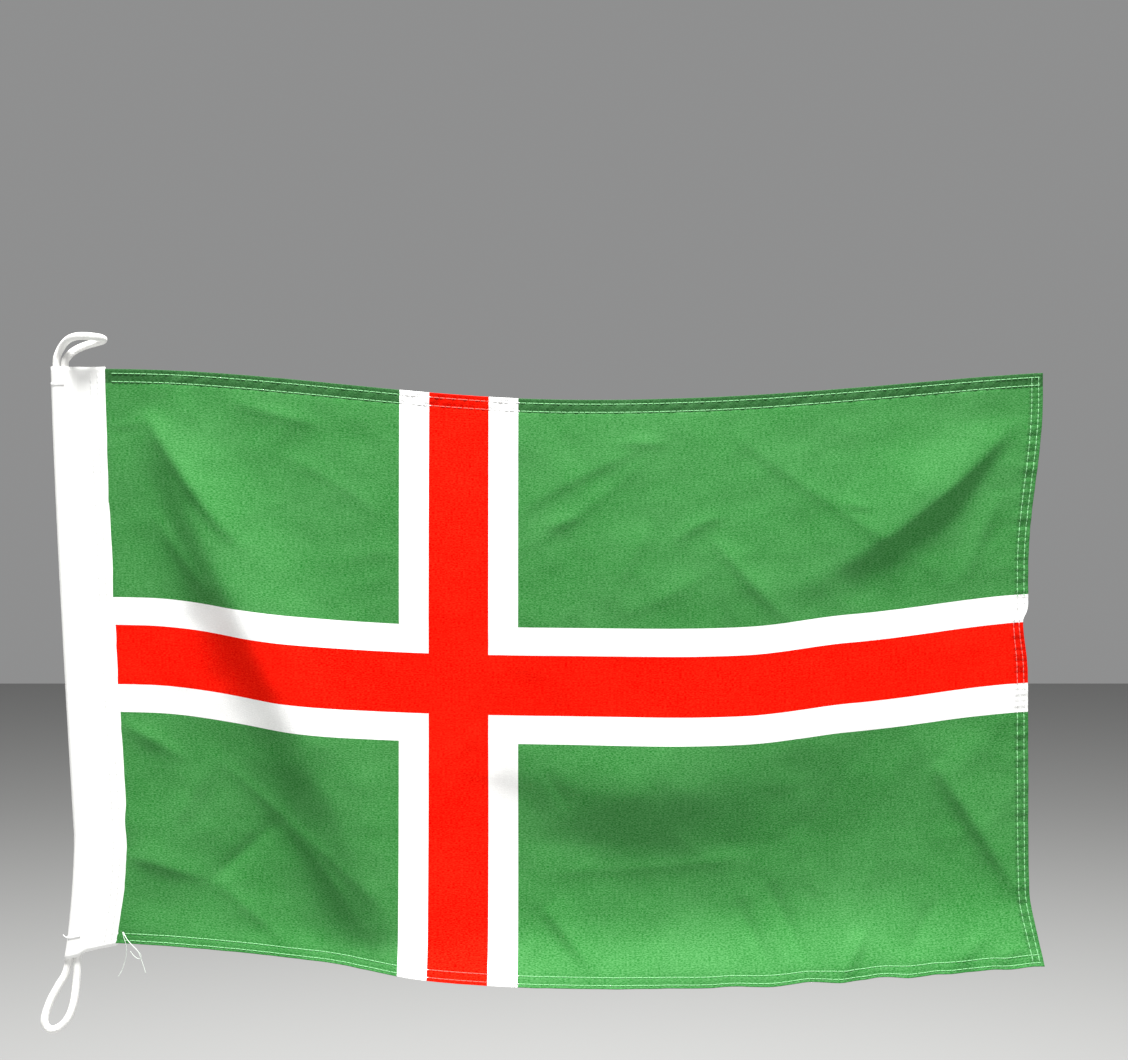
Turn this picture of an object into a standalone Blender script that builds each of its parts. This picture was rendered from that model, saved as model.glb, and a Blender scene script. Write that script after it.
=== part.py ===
"""Hemmed hand flag with a Nordic cross, hanging from its two upper corners.

Frame: metres, +X from the hoist to the fly, +Z up, and the front of the cloth looks along -Y.
The origin is on the front of the cloth, where the hoist corner is gripped.
The cloth has two coordinates of its own: along, from the heading to the fly, and down, from the top edge.
"""

import math

import bpy
import numpy as np
from mathutils import Vector

# ---- Driving dimensions -------------------------------------------------------------------

PANEL_LENGTH = 0.700
PANEL_HEIGHT = 0.440
CROSS_UNIT = 0.022
PLY = 0.0005
HEM_PLIES = 0.0012
TOP_HEM = 0.0108
BOTTOM_HEM = 0.0088
FLY_HEM = 0.0108
HEM_STARTS = 0.0045

TAPE_WIDTH = 0.0376
TAPE_PLY = 0.0006
SEAM_GAP = 0.0026
SEAM_ALLOWANCE = 0.0120
ROPE_DIAMETER = 0.0058
ROPE_PITCH = 0.0063
ROPE_CLEARANCE = 0.0007
THREAD_RADIUS = 0.00025
GAP = 0.0003

# Where the cloth hangs: its upper corners, how far it sags between them, and how far it drops.
TOP_HOIST = Vector((-0.0111, 0.0141))
TOP_FLY = Vector((0.6837, 0.0111))
TOP_SAG = 0.0215
HOIST_DROP = 0.4250
FLY_DROP = 0.4356
GRIP_LENGTH = 0.022
GRIP_HEIGHT = 0.026
GRIP_RIM = 0.0005
GRIP_PROUD = 0.0002

# How far from a grip, and from the heading, the cloth starts and finishes leaving its flat plane.
LEAVES_GRIP = 0.006
CLEAR_OF_GRIP = 0.036
CLEAR_OF_HEADING = 0.070

# The hoist edge leans in as it drops and curls back out near the lower corner. The fly edge pulls in.
SEAM_LEAN = 0.0222
SEAM_CURL = 0.0126
CURL_STARTS = 0.81
FLY_PULL = 0.0110
CENTRE_SHIFT = 0.0045

# How far the middle height hangs below an even drop, at shares of the length along.
SLUMP_AT = (0.03, 0.19, 0.50, 0.68, 0.80, 1.00)
SLUMP = (-0.0011, 0.0044, -0.0038, -0.0018, -0.0060, -0.0110)

# Stitch rows, measured in from the finished edge, and how far the heading's rows stay from its ends.
TOP_ROWS = (0.0034, 0.0098)
BOTTOM_ROWS = (0.0023, 0.0074)
FLY_ROWS = (0.0033, 0.0085)
TAPE_ROWS = (0.0030, 0.0080)
ROW_INSET = 0.0030
BARTACK_INSET = 0.012
BARTACK_HEIGHT = 0.0024
BARTACK_THICKNESS = 0.0005

COLUMNS = 24
ROWS = 13

# Folds in the cloth. Each crest runs through three points given in shares of the panel, along and down.
# height is toward the front, steep and gentle are the widths of the crest's lower and upper side,
# and fade is the share of its height that it loses toward its far end.
HOIST_SWAG = {
    "crest": ((0.035, 0.07), (0.148, 0.43), (0.345, 1.05)),
    "height": 0.0165, "steep": 0.040, "gentle": 0.080, "fade": 0.0,
}
FLY_SWAG = {
    "crest": ((0.965, 0.085), (0.895, 0.25), (0.74, 0.33)),
    "height": 0.0085, "steep": 0.018, "gentle": 0.060, "fade": 0.8,
}
FOOT_ROLL = {
    "crest": ((0.04, 1.06), (0.70, 0.98), (0.97, 1.06)),
    "height": 0.0250, "steep": 0.050, "gentle": 0.050, "fade": 0.0,
}
MIDDLE_ROLL = {
    "crest": ((0.40, 0.61), (0.57, 0.73), (0.74, 0.60)),
    "height": 0.0095, "steep": 0.050, "gentle": 0.070, "fade": 0.5,
}
FOLDS = (HOIST_SWAG, FLY_SWAG, FOOT_ROLL, MIDDLE_ROLL)
BELLY = 0.008
TINY = 1e-9

# The heading's reach, measured down from the panel's top edge, and the rope's reach past its mouths.
TAPE_TOP = -0.0015
TAPE_FOOT = 0.4422
UPPER_ROPE_END = -0.0020
LOWER_ROPE_END = 0.4427
TURNED_BACK = 0.062


# ---- Materials ----------------------------------------------------------------------------


def principled(name, colour, roughness):
    material = bpy.data.materials.new(name)
    material.use_nodes = True
    shader = material.node_tree.nodes["Principled BSDF"]
    shader.inputs["Base Color"].default_value = (*colour, 1.0)
    shader.inputs["Roughness"].default_value = roughness
    shader.inputs["Metallic"].default_value = 0.0
    return material


def cloth_materials():
    """The printed cloth's three colours, in the order that print_slot numbers them."""
    return (
        principled("green_print", (0.070, 0.330, 0.085), 0.75),
        principled("white_print", (0.85, 0.85, 0.85), 0.75),
        principled("red_print", (0.90, 0.015, 0.010), 0.75),
    )


# ---- The hanging cloth --------------------------------------------------------------------


def smooth(value, low, high):
    share = np.clip((value - low) / (high - low), 0.0, 1.0)
    return share * share * (3.0 - 2.0 * share)


def top_sag(along):
    """The top edge's dip between the grips: eased at the hoist, straighter at the fly."""
    share = np.clip(along / PANEL_LENGTH, 0.0, 1.0)
    power = np.where(share < 0.5, 2.0, 1.2)
    return TOP_SAG * np.sin(math.pi * share) ** power


def seam_shift(down):
    share = np.clip(down / PANEL_HEIGHT, 0.0, 1.1)
    curl = np.clip((share - CURL_STARTS) / (1.0 - CURL_STARTS), 0.0, 2.0)
    return SEAM_LEAN * share**1.25 - SEAM_CURL * curl**1.5


def fly_shift(down):
    share = down / PANEL_HEIGHT
    return -FLY_PULL * smooth(share, 0.04, 0.36) * (1.0 - 0.75 * smooth(share, 0.88, 1.02))


def crest_line(fold, count=24):
    start, middle, end = (np.array(point) * (PANEL_LENGTH, PANEL_HEIGHT) for point in fold["crest"])
    share = np.linspace(0.0, 1.0, count)[:, None]
    return (1 - share) ** 2 * start + 2 * share * (1 - share) * middle + share**2 * end


def fold_height(along, down, fold):
    """How far one fold lifts the cloth toward the front, from the nearest stretch of its crest."""
    line = crest_line(fold)
    nearest = np.full(along.shape, 10.0)
    above = np.zeros(along.shape)
    travelled = np.zeros(along.shape)
    for index in range(len(line) - 1):
        (x0, z0), (x1, z1) = line[index], line[index + 1]
        run, drop = x1 - x0, z1 - z0
        length = math.copysign(math.hypot(run, drop), run)
        share = np.clip(((along - x0) * run + (down - z0) * drop) / length**2, 0.0, 1.0)
        away_x = along - (x0 + share * run)
        away_z = down - (z0 + share * drop)
        distance = np.hypot(away_x, away_z)
        closer = distance < nearest
        nearest = np.where(closer, distance, nearest)
        above = np.where(closer, (away_x * drop - away_z * run) / length / (distance + TINY), above)
        travelled = np.where(closer, (index + share) / (len(line) - 1), travelled)
    spread = 0.35 + 0.65 * travelled
    width = (fold["steep"] + (fold["gentle"] - fold["steep"]) * (0.5 + 0.5 * above)) * spread
    rise = 0.25 + 0.75 * smooth(travelled, 0.0, 0.45)
    fall = 1.0 - fold["fade"] * smooth(travelled, 0.55, 1.0)
    return fold["height"] * rise * fall * np.exp(-((nearest / width) ** 2))


def slump(share_along):
    """The middle height's own dip, eased from each station of SLUMP_AT to the next."""
    dip = np.full(share_along.shape, SLUMP[0])
    for index in range(len(SLUMP) - 1):
        eased = smooth(share_along, SLUMP_AT[index], SLUMP_AT[index + 1])
        dip = dip + (SLUMP[index + 1] - SLUMP[index]) * eased
    return dip


def outside(value, low, high):
    return np.maximum(np.maximum(low - value, value - high), 0.0)


def past_grips(along, down):
    """How far a point is from the two gripped patches, one inside each upper corner's hems."""
    past_height = outside(down, TOP_HEM + GRIP_RIM, GRIP_HEIGHT)
    past_hoist = np.hypot(outside(along, HEM_STARTS + GRIP_RIM, GRIP_LENGTH), past_height)
    past_fly = np.hypot(outside(PANEL_LENGTH - along, FLY_HEM + GRIP_RIM, GRIP_LENGTH), past_height)
    return np.minimum(past_hoist, past_fly)


def belly(along, down):
    """The broad forward curve of the hanging cloth."""
    share_along = np.clip(along / PANEL_LENGTH, 0.0, 1.0)
    share_down = np.clip(down / PANEL_HEIGHT * 1.3, 0.0, 1.0)
    return BELLY * np.sin(math.pi * share_along) * np.sin(math.pi * share_down)


def hanging_point(along, down):
    """The front face's point for arrays of cloth coordinates, as an array of X, Y, Z."""
    along = np.asarray(along, float)
    down = np.asarray(down, float)
    share_along = along / PANEL_LENGTH
    share_down = down / PANEL_HEIGHT
    forward = belly(along, down)
    x = TOP_HOIST.x + seam_shift(down) * (1.0 - smooth(share_along, 0.0, 0.36)) * (1.0 - share_along)
    x = x + (TOP_FLY.x - TOP_HOIST.x + fly_shift(down) * smooth(share_along, 0.45, 1.0)) * share_along
    x = x + CENTRE_SHIFT * np.sin(math.pi * np.clip(share_along, 0, 1))
    top = TOP_HOIST.y * (1 - share_along) + TOP_FLY.y * share_along - top_sag(along)
    drop = HOIST_DROP + (FLY_DROP - HOIST_DROP) * share_along
    z = top - drop * share_down - slump(share_along) * np.sin(math.pi * np.clip(share_down, 0, 1))
    for fold in FOLDS:
        forward = forward + fold_height(along, down, fold)
    past = past_grips(along, down)
    free = smooth(past, LEAVES_GRIP, CLEAR_OF_GRIP) * smooth(along, 0.0, CLEAR_OF_HEADING)
    y = GRIP_PROUD * smooth(past, 0.0, GRIP_RIM) * smooth(along, 0.0, HEM_STARTS) - forward * free
    return np.stack([x, y, z], axis=-1)


def plies(along, down):
    """The cloth's thickness: the hems are turned twice, and lie behind the front face."""
    in_hem = (
        (down <= TOP_HEM) | (down >= PANEL_HEIGHT - BOTTOM_HEM) | (along >= PANEL_LENGTH - FLY_HEM)
    )
    return np.where(in_hem & (along > HEM_STARTS), HEM_PLIES, PLY)


# ---- Meshes -------------------------------------------------------------------------------


def add_object(name, points, faces, materials, smooth_shading=True):
    mesh = bpy.data.meshes.new(name)
    mesh.from_pydata([tuple(point) for point in points], [], faces)
    for material in materials:
        mesh.materials.append(material)
    mesh.validate()
    mesh.update()
    if smooth_shading:
        mesh.shade_smooth()
        mesh.set_sharp_from_angle(angle=math.radians(50))
    thing = bpy.data.objects.new(name, mesh)
    bpy.context.collection.objects.link(thing)
    return thing


def sweep(name, rings, material):
    """A closed body through rings of equally many points, turned so that its faces look outward."""
    count = len(rings[0])
    points = [point for ring in rings for point in ring]
    faces = []
    for index in range(len(rings) - 1):
        here, there = index * count, (index + 1) * count
        for step in range(count):
            after = (step + 1) % count
            faces.append((here + step, there + step, there + after, here + after))
    faces.append(tuple(range(count)))
    last = (len(rings) - 1) * count
    faces.append(tuple(last + step for step in reversed(range(count))))
    thing = add_object(name, points, faces, [material])
    turn_outward(thing)
    return thing


def turn_outward(thing):
    """Flips a closed mesh whose signed volume is negative."""
    mesh = thing.data
    mesh.calc_loop_triangles()
    volume = 0.0
    for triangle in mesh.loop_triangles:
        a, b, c = (mesh.vertices[index].co for index in triangle.vertices)
        volume += a.dot(b.cross(c))
    if volume < 0:
        mesh.flip_normals()


def tube_rings(path, radius, sides):
    """Rings square to a path, carried along it without twist."""
    path = [Vector(point) for point in path]
    rings = []
    across = None
    for index, point in enumerate(path):
        before = path[max(index - 1, 0)]
        after = path[min(index + 1, len(path) - 1)]
        direction = (after - before).normalized()
        if across is None:
            across = direction.orthogonal().normalized()
        across = (across - direction * across.dot(direction)).normalized()
        other = direction.cross(across)
        angles = [2 * math.pi * step / sides for step in range(sides)]
        rings.append([point + radius * (math.cos(a) * across + math.sin(a) * other) for a in angles])
    return rings


def through_points(points, per_span=4):
    """A smooth Catmull-Rom curve through hand-set points."""
    points = [Vector(point) for point in points]
    padded = [2 * points[0] - points[1], *points, 2 * points[-1] - points[-2]]
    curve = []
    for index in range(1, len(padded) - 2):
        a, b, c, d = padded[index - 1 : index + 3]
        for step in range(per_span):
            t = step / per_span
            bend = 2 * a - 5 * b + 4 * c - d
            turn = 3 * b - a - 3 * c + d
            curve.append(0.5 * (2 * b + (c - a) * t + bend * t**2 + turn * t**3))
    curve.append(points[-1])
    return curve


def cord_curve(name, points, radius, material, per_span, resolution):
    """A plain tube: a curve with a round bevel and filled caps."""
    route = through_points(points, per_span)
    curve = bpy.data.curves.new(name, "CURVE")
    curve.dimensions = "3D"
    curve.bevel_depth = radius
    curve.bevel_resolution = resolution
    curve.use_fill_caps = True
    spline = curve.splines.new("POLY")
    spline.points.add(len(route) - 1)
    for place, point in zip(spline.points, route):
        place.co = (*point, 1.0)
    curve.materials.append(material)
    thing = bpy.data.objects.new(name, curve)
    bpy.context.collection.objects.link(thing)
    return thing


# ---- Panel --------------------------------------------------------------------------------


def stations(low_marks, high_marks, length, count):
    """Grid lines: the marks near each end, with even steps between them."""
    low = sorted({0.0, *low_marks})
    high = sorted({length, *(length - mark for mark in high_marks)})
    between = np.linspace(low[-1], high[0], count + 1)[1:-1]
    return [*low, *between, *high]


def along_stations():
    grip_marks = (GRIP_LENGTH, GRIP_LENGTH + GRIP_RIM)
    hoist_marks = (HEM_STARTS, HEM_STARTS + GRIP_RIM, *grip_marks)
    fly_marks = (*FLY_ROWS, FLY_HEM, FLY_HEM + GRIP_RIM, *grip_marks)
    return stations(hoist_marks, fly_marks, PANEL_LENGTH, COLUMNS)


def down_stations():
    top_marks = (*TOP_ROWS, TOP_HEM, TOP_HEM + GRIP_RIM, GRIP_HEIGHT, GRIP_HEIGHT + GRIP_RIM)
    bottom_marks = (*BOTTOM_ROWS, BOTTOM_HEM, BOTTOM_HEM + GRIP_RIM)
    return stations(top_marks, bottom_marks, PANEL_HEIGHT, ROWS)


def print_slot(along, down):
    """0 green, 1 white, 2 red: the cross, measured in from the fly and down from the top."""
    from_fly = (PANEL_LENGTH - along) / CROSS_UNIT
    from_top = down / CROSS_UNIT
    if 19 < from_fly < 21 or 9 < from_top < 11:
        return 2
    if 18 < from_fly < 22 or 8 < from_top < 12:
        return 1
    return 0


def build_panel(materials):
    alongs, downs = along_stations(), down_stations()
    grid_along, grid_down = np.meshgrid(alongs, downs, indexing="ij")
    front = hanging_point(grid_along, grid_down)
    back = front.copy()
    back[..., 1] += plies(grid_along, grid_down)
    columns, rows = grid_along.shape
    half = columns * rows
    points = np.concatenate([front.reshape(-1, 3), back.reshape(-1, 3)])
    faces, slots = [], []
    for i in range(columns - 1):
        for j in range(rows - 1):
            a, b, c, d = i * rows + j, (i + 1) * rows + j, (i + 1) * rows + j + 1, i * rows + j + 1
            slot = print_slot((alongs[i] + alongs[i + 1]) / 2, (downs[j] + downs[j + 1]) / 2)
            faces += [(a, d, c, b), (half + a, half + b, half + c, half + d)]
            slots += [slot, slot]
    rim = [i * rows for i in range(columns)]
    rim += [(columns - 1) * rows + j for j in range(1, rows)]
    rim += [i * rows + rows - 1 for i in range(columns - 2, -1, -1)]
    rim += [j for j in range(rows - 2, 0, -1)]
    for here, there in zip(rim, rim[1:] + rim[:1]):
        faces.append((here, there, half + there, half + here))
        slots.append(0)
    panel = add_object("flag_panel", points, faces, materials, smooth_shading=False)
    turn_outward(panel)
    panel.data.polygons.foreach_set("material_index", slots)
    return panel


# ---- Heading ------------------------------------------------------------------------------


def tape_across(down):
    """The direction from the seam to the tape's fold: level, and dropping a little near the foot."""
    drop = math.radians(12) * float(smooth(np.array(down / PANEL_HEIGHT), 0.80, 1.0))
    return Vector((-math.cos(drop), 0.0, -math.sin(drop)))


def tape_point(down, inward, depth):
    """A point of the heading: inward from its fold toward the seam, and depth behind its middle."""
    seam = Vector(hanging_point(0.0, down))
    seam.y += PLY / 2
    return seam + tape_across(down) * (SEAM_GAP + TAPE_WIDTH - inward) + Vector((0.0, depth, 0.0))


ROPE_INWARD = ROPE_DIAMETER / 2 + ROPE_CLEARANCE + TAPE_PLY
TAIL_INWARD = ROPE_INWARD + ROPE_PITCH


def tape_half_profile(offset):
    """One side of the sleeve's section, from the fold to the seam: round over the rope, then flat."""
    radius = ROPE_DIAMETER / 2 + ROPE_CLEARANCE + offset
    flat = GAP + PLY / 2 + offset
    profile = []
    for step in range(1, 5):
        angle = math.pi / 2 * step / 4
        profile.append((ROPE_INWARD - radius * math.cos(angle), radius * math.sin(angle)))
    profile.append((TAIL_INWARD + 0.0004, radius))
    profile.append((TAIL_INWARD + 0.0036, radius * 0.80 + flat * 0.20))
    profile.append((TAIL_INWARD + 0.0085, flat + 0.0006))
    profile.append((TAPE_WIDTH - SEAM_ALLOWANCE - 0.0012, flat))
    profile.append((TAPE_WIDTH, flat))
    return profile


def build_tape(material):
    """The heading is one folded tape: an open C that closes on the panel's edge at the seam."""
    outer, inner = tape_half_profile(TAPE_PLY), tape_half_profile(0.0)
    fold_outer = (ROPE_INWARD - ROPE_DIAMETER / 2 - ROPE_CLEARANCE - TAPE_PLY, 0.0)
    fold_inner = (fold_outer[0] + TAPE_PLY, 0.0)
    section = [(inward, -depth) for inward, depth in reversed(outer)]
    section += [fold_outer, *outer]
    section += list(reversed(inner))
    section += [fold_inner, *((inward, -depth) for inward, depth in inner)]
    downs = np.linspace(TAPE_TOP, TAPE_FOOT, 17)
    rings = [[tape_point(down, inward, depth) for inward, depth in section] for down in downs]
    return sweep("heading_tape", rings, material)


def build_seam_allowance(material):
    """The panel's raw edge, which the tape closes on."""
    low, high = TAPE_WIDTH - SEAM_ALLOWANCE, TAPE_WIDTH
    section = ((low, -PLY / 2), (high, -PLY / 2), (high, PLY / 2), (low, PLY / 2))
    downs = np.linspace(0.0005, PANEL_HEIGHT * 0.999, 17)
    rings = [[tape_point(down, inward, depth) for inward, depth in section] for down in downs]
    return sweep("panel_seam_allowance", rings, material)


def build_rope(material):
    """The rope runs through the sleeve, and both its ends turn back into the mouths."""
    runs = {
        "hoist_rope": (ROPE_INWARD, UPPER_ROPE_END, LOWER_ROPE_END, 20),
        "upper_rope_end": (TAIL_INWARD, UPPER_ROPE_END, UPPER_ROPE_END + TURNED_BACK, 5),
        "lower_rope_end": (TAIL_INWARD, LOWER_ROPE_END - TURNED_BACK, LOWER_ROPE_END, 5),
    }
    for name, (inward, start, end, count) in runs.items():
        path = [tape_point(down, inward, 0.0) for down in np.linspace(start, end, count)]
        sweep(name, tube_rings(path, ROPE_DIAMETER / 2, 8), material)


# ---- Rope loops ---------------------------------------------------------------------------

# Each loop leaves the sleeve beside the rope and comes back beside the rope's own end.
# Its two round ends stand on one line, the hinge on which the loop swings to the front and back.
LOWER_LOOP = (
    (-0.0406, 0.000, -0.4345),
    (-0.0436, -0.001, -0.4396),
    (-0.0466, -0.002, -0.4450),
    (-0.0495, -0.003, -0.4504),
    (-0.0518, -0.004, -0.4560),
    (-0.0535, -0.005, -0.4615),
    (-0.0543, -0.006, -0.4665),
    (-0.0532, -0.006, -0.4712),
    (-0.0496, -0.006, -0.4738),
    (-0.0452, -0.006, -0.4730),
    (-0.0412, -0.005, -0.4703),
    (-0.0376, -0.004, -0.4660),
    (-0.0350, -0.003, -0.4600),
    (-0.0335, -0.002, -0.4535),
    (-0.0328, -0.001, -0.4470),
    (-0.0323, 0.000, -0.4400),
    (-0.0318, 0.000, -0.4335),
)
UPPER_LOOP = (
    (-0.0463, 0.000, 0.0240),
    (-0.0440, -0.001, 0.0285),
    (-0.0406, -0.003, 0.0328),
    (-0.0360, -0.006, 0.0358),
    (-0.0300, -0.009, 0.0373),
    (-0.0235, -0.010, 0.0375),
    (-0.0180, -0.008, 0.0372),
    (-0.0140, -0.003, 0.0368),
    (-0.0128, 0.002, 0.0362),
    (-0.0150, 0.007, 0.0356),
    (-0.0200, 0.010, 0.0346),
    (-0.0260, 0.009, 0.0328),
    (-0.0315, 0.006, 0.0302),
    (-0.0360, 0.003, 0.0268),
    (-0.0391, 0.001, 0.0230),
)


def loop_hinge_point(rope_end, outward, inward):
    """The centre of a loop's round end: one rope radius and a gap past the end of the rope in the sleeve."""
    end = tape_point(rope_end, inward, 0.0)
    further = tape_point(rope_end + outward * 0.004, inward, 0.0)
    return end + (further - end).normalized() * (ROPE_DIAMETER / 2 + GAP)


def build_loop(name, rope_end, outward, middle, material):
    """A rope loop whose ends are rounded toward the sleeve by points of falling radius."""
    first = loop_hinge_point(rope_end, outward, ROPE_INWARD)
    last = loop_hinge_point(rope_end, outward, TAIL_INWARD)
    loop = cord_curve(name, (first, *middle, last), ROPE_DIAMETER / 2, material, 2, 2)
    points = [Vector(point.co[:3]) for point in loop.data.splines[0].points]
    radius = ROPE_DIAMETER / 2
    cap = []
    for angle in (math.radians(80), math.radians(55), math.radians(28)):
        cap.append((radius * math.sin(angle), math.cos(angle)))
    into_first = (tape_point(rope_end, ROPE_INWARD, 0.0) - first).normalized()
    into_last = (tape_point(rope_end, TAIL_INWARD, 0.0) - last).normalized()
    rounded = [(first + into_first * reach, share) for reach, share in cap]
    rounded += [(point, 1.0) for point in points]
    rounded += [(last + into_last * reach, share) for reach, share in reversed(cap)]
    spline = loop.data.splines[0]
    spline.points.add(len(rounded) - len(points))
    for place, (point, share) in zip(spline.points, rounded):
        place.co = (*point, 1.0)
        place.radius = share
    return loop


def build_loops(material):
    build_loop("upper_loop", UPPER_ROPE_END, -1, UPPER_LOOP, material)
    build_loop("lower_loop", LOWER_ROPE_END, 1, LOWER_LOOP, material)


# ---- Threads ------------------------------------------------------------------------------

THREAD_OFF = GAP + THREAD_RADIUS


def thread(name, path, material):
    return sweep(name, tube_rings(path, THREAD_RADIUS, 4), material)


def build_hem_row(name, alongs, downs, material):
    """One row of lockstitch: the needle thread lies on the front and the bobbin thread on the back."""
    alongs, downs = np.broadcast_arrays(np.asarray(alongs, float), np.asarray(downs, float))
    front = hanging_point(alongs, downs)
    back = front.copy()
    front[:, 1] -= THREAD_OFF
    back[:, 1] += HEM_PLIES + THREAD_OFF
    thread(f"{name}_needle_thread", front, material)
    thread(f"{name}_bobbin_thread", back, material)


def build_hem_threads(material):
    across = [a for a in along_stations() if HEM_STARTS < a < PANEL_LENGTH - FLY_HEM - 0.0001]
    upright = [d for d in down_stations() if ROW_INSET < d < PANEL_HEIGHT - BOTTOM_ROWS[0] + TINY]
    for place, row in zip(("outer", "inner"), TOP_ROWS):
        build_hem_row(f"top_hem_{place}", across, row, material)
    for place, row in zip(("outer", "inner"), BOTTOM_ROWS):
        build_hem_row(f"bottom_hem_{place}", across, PANEL_HEIGHT - row, material)
    for place, row in zip(("outer", "inner"), FLY_ROWS):
        build_hem_row(f"fly_hem_{place}", PANEL_LENGTH - row, upright, material)


def build_tape_threads(material):
    off = GAP + PLY / 2 + TAPE_PLY + THREAD_OFF
    downs = np.linspace(ROW_INSET, PANEL_HEIGHT - ROW_INSET, 17)
    for place, row in zip(("outer", "inner"), TAPE_ROWS):
        for side, depth in (("needle", -off), ("bobbin", off)):
            path = [tape_point(down, TAPE_WIDTH - row, depth) for down in downs]
            thread(f"heading_seam_{place}_{side}_thread", path, material)


def build_bartacks(material):
    """A dense bar of stitches round the fold near each mouth, which locks the rope's turned-back end."""
    half_height = BARTACK_HEIGHT / 2
    for name, down in (("upper_bartack", BARTACK_INSET), ("lower_bartack", PANEL_HEIGHT - BARTACK_INSET)):
        near = tape_half_profile(TAPE_PLY + GAP)[:6]
        far = tape_half_profile(TAPE_PLY + GAP + BARTACK_THICKNESS)[:6]
        fold_near = (ROPE_INWARD - ROPE_DIAMETER / 2 - ROPE_CLEARANCE - TAPE_PLY - GAP, 0.0)
        fold_far = (fold_near[0] - BARTACK_THICKNESS, 0.0)
        inner = [*((i, -d) for i, d in reversed(near)), fold_near, *near]
        outer = [*((i, -d) for i, d in reversed(far)), fold_far, *far]
        rings = []
        for (inner_in, inner_depth), (outer_in, outer_depth) in zip(inner, outer):
            rings.append(
                [
                    tape_point(down - half_height, inner_in, inner_depth),
                    tape_point(down + half_height, inner_in, inner_depth),
                    tape_point(down + half_height, outer_in, outer_depth),
                    tape_point(down - half_height, outer_in, outer_depth),
                ]
            )
        sweep(name, rings, material)


# Loose ends of the heading's and the hem's threads, at the lower hoist corner.
THREAD_TAILS = {
    "loose_thread_long": (
        (0.0030, -0.0046, -0.4020),
        (0.0044, -0.0062, -0.4062),
        (0.0060, -0.0066, -0.4110),
        (0.0062, -0.0060, -0.4170),
        (0.0048, -0.0050, -0.4240),
        (0.0026, -0.0044, -0.4300),
        (-0.0002, -0.0042, -0.4352),
    ),
    "loose_thread_right": (
        (0.0040, -0.0062, -0.4018),
        (0.0066, -0.0078, -0.4060),
        (0.0104, -0.0082, -0.4105),
        (0.0146, -0.0078, -0.4150),
        (0.0168, -0.0070, -0.4205),
        (0.0186, -0.0064, -0.4260),
        (0.0204, -0.0062, -0.4320),
    ),
    "loose_thread_curl": (
        (0.0050, -0.0090, -0.4030),
        (0.0088, -0.0104, -0.4078),
        (0.0134, -0.0104, -0.4128),
        (0.0170, -0.0096, -0.4170),
        (0.0176, -0.0088, -0.4200),
        (0.0150, -0.0080, -0.4210),
        (0.0118, -0.0078, -0.4186),
        (0.0096, -0.0080, -0.4155),
    ),
}


def build_thread_tails(material):
    for name, points in THREAD_TAILS.items():
        cord_curve(name, points, THREAD_RADIUS, material, 2, 2)


# ---- The flag -----------------------------------------------------------------------------


def main():
    for thing in list(bpy.data.objects):
        bpy.data.objects.remove(thing, do_unlink=True)
    cloth = cloth_materials()
    canvas = principled("white_canvas", (0.86, 0.86, 0.84), 0.85)
    braid = principled("white_braid", (0.84, 0.83, 0.80), 0.80)
    stitch = principled("pale_green_thread", (0.42, 0.72, 0.44), 0.60)
    white_stitch = principled("white_thread", (0.85, 0.87, 0.84), 0.60)
    build_panel(cloth)
    build_seam_allowance(cloth[0])
    build_tape(canvas)
    build_rope(braid)
    build_loops(braid)
    build_hem_threads(stitch)
    build_tape_threads(white_stitch)
    build_bartacks(white_stitch)
    build_thread_tails(stitch)


main()
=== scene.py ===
"""Looks of the hand flag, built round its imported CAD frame.

The printed cloth, the canvas heading, the braided rope and every sewing thread are modelled here.
The cloth has two coordinates of its own: along, from the heading to the fly, and down, from the top edge.
"""

import math
from collections import namedtuple

import bpy
import numpy as np
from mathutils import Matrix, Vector, noise


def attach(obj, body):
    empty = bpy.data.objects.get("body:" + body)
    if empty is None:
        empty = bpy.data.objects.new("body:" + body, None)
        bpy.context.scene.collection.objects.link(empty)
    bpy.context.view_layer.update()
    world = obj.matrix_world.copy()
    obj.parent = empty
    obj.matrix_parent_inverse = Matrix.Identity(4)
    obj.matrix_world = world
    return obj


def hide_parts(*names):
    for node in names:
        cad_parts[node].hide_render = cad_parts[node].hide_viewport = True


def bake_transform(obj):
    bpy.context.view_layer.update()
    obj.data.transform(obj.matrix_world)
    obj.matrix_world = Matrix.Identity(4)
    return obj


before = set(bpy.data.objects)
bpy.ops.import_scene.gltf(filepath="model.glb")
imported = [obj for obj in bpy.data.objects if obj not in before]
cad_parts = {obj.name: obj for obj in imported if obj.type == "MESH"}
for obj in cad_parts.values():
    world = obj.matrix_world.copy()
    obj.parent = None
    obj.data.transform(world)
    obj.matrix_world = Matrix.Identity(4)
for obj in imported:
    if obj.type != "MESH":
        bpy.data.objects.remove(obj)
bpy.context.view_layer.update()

# ---- The CAD model's own dimensions and drape ----

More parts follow.
